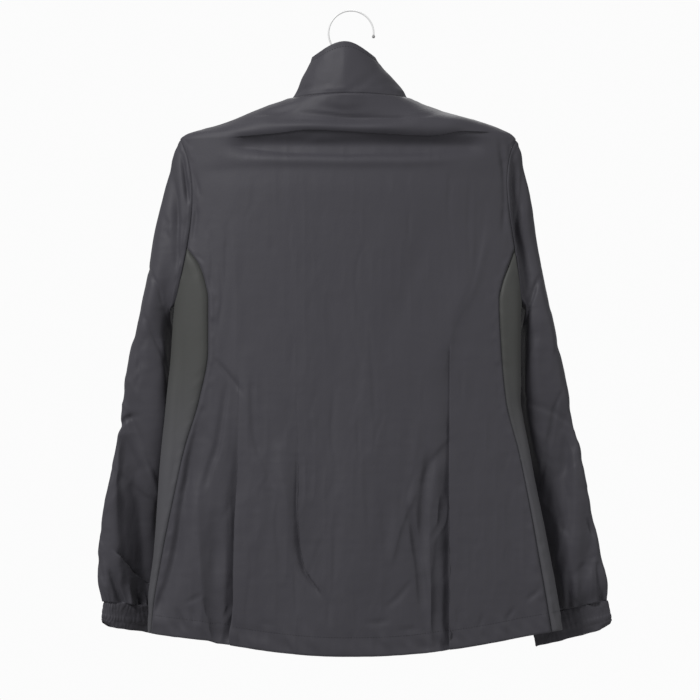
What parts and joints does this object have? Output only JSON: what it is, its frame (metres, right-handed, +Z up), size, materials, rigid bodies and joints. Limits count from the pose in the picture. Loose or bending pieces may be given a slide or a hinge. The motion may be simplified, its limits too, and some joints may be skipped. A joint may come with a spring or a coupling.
{
  "type": "windbreaker jacket on a hanger",
  "caption": "Light nylon windbreaker with a stand collar, shaped side panels, shirred cuffs and a zipped front, hanging on a wire hanger.",
  "frame": {"origin": "inner top of the hanger's hook, where a rail or peg carries it", "axes": "+Z up, -Y out of the jacket's back, +Y out of the zip, +X to the wearer's right"},
  "size_m": [0.6062, 0.1448, 0.7512],
  "materials": {
    "shell_nylon": "matt crinkled nylon",
    "side_nylon": "matt smooth nylon",
    "cuff_shirring": "shirred nylon",
    "zip_tape_black": "woven tape",
    "zip_teeth_black": "moulded",
    "slider_metal": "dark nickel",
    "hanger_wire": "drawn wire",
    "hook_tip_black": "dipped"
  },
  "bodies": {
    "jacket": {"back_panel": "shell_nylon", "front_left": "shell_nylon", "front_right": "shell_nylon", "side_panel_left": "side_nylon", "side_panel_right": "side_nylon", "collar": "shell_nylon", "sleeve_left": "shell_nylon", "sleeve_right": "shell_nylon", "cuff_left": "cuff_shirring", "cuff_right": "cuff_shirring", "zip_tape": "zip_tape_black", "zip_chain": "zip_teeth_black", "zip_slider": "slider_metal", "zip_bridge": "slider_metal", "hanger": "hanger_wire", "hook_tip": "hook_tip_black"},
    "pull_tab": {"zip_pull": "slider_metal"}
  },
  "joints": [
    {"name": "pull_tab_swing", "type": "hinge", "parent": "jacket", "child": "pull_tab", "pos_m": [-0.006, 0.06072, -0.11803], "axis": [1, 0, 0], "range_deg": [0, 150]}
  ]
}
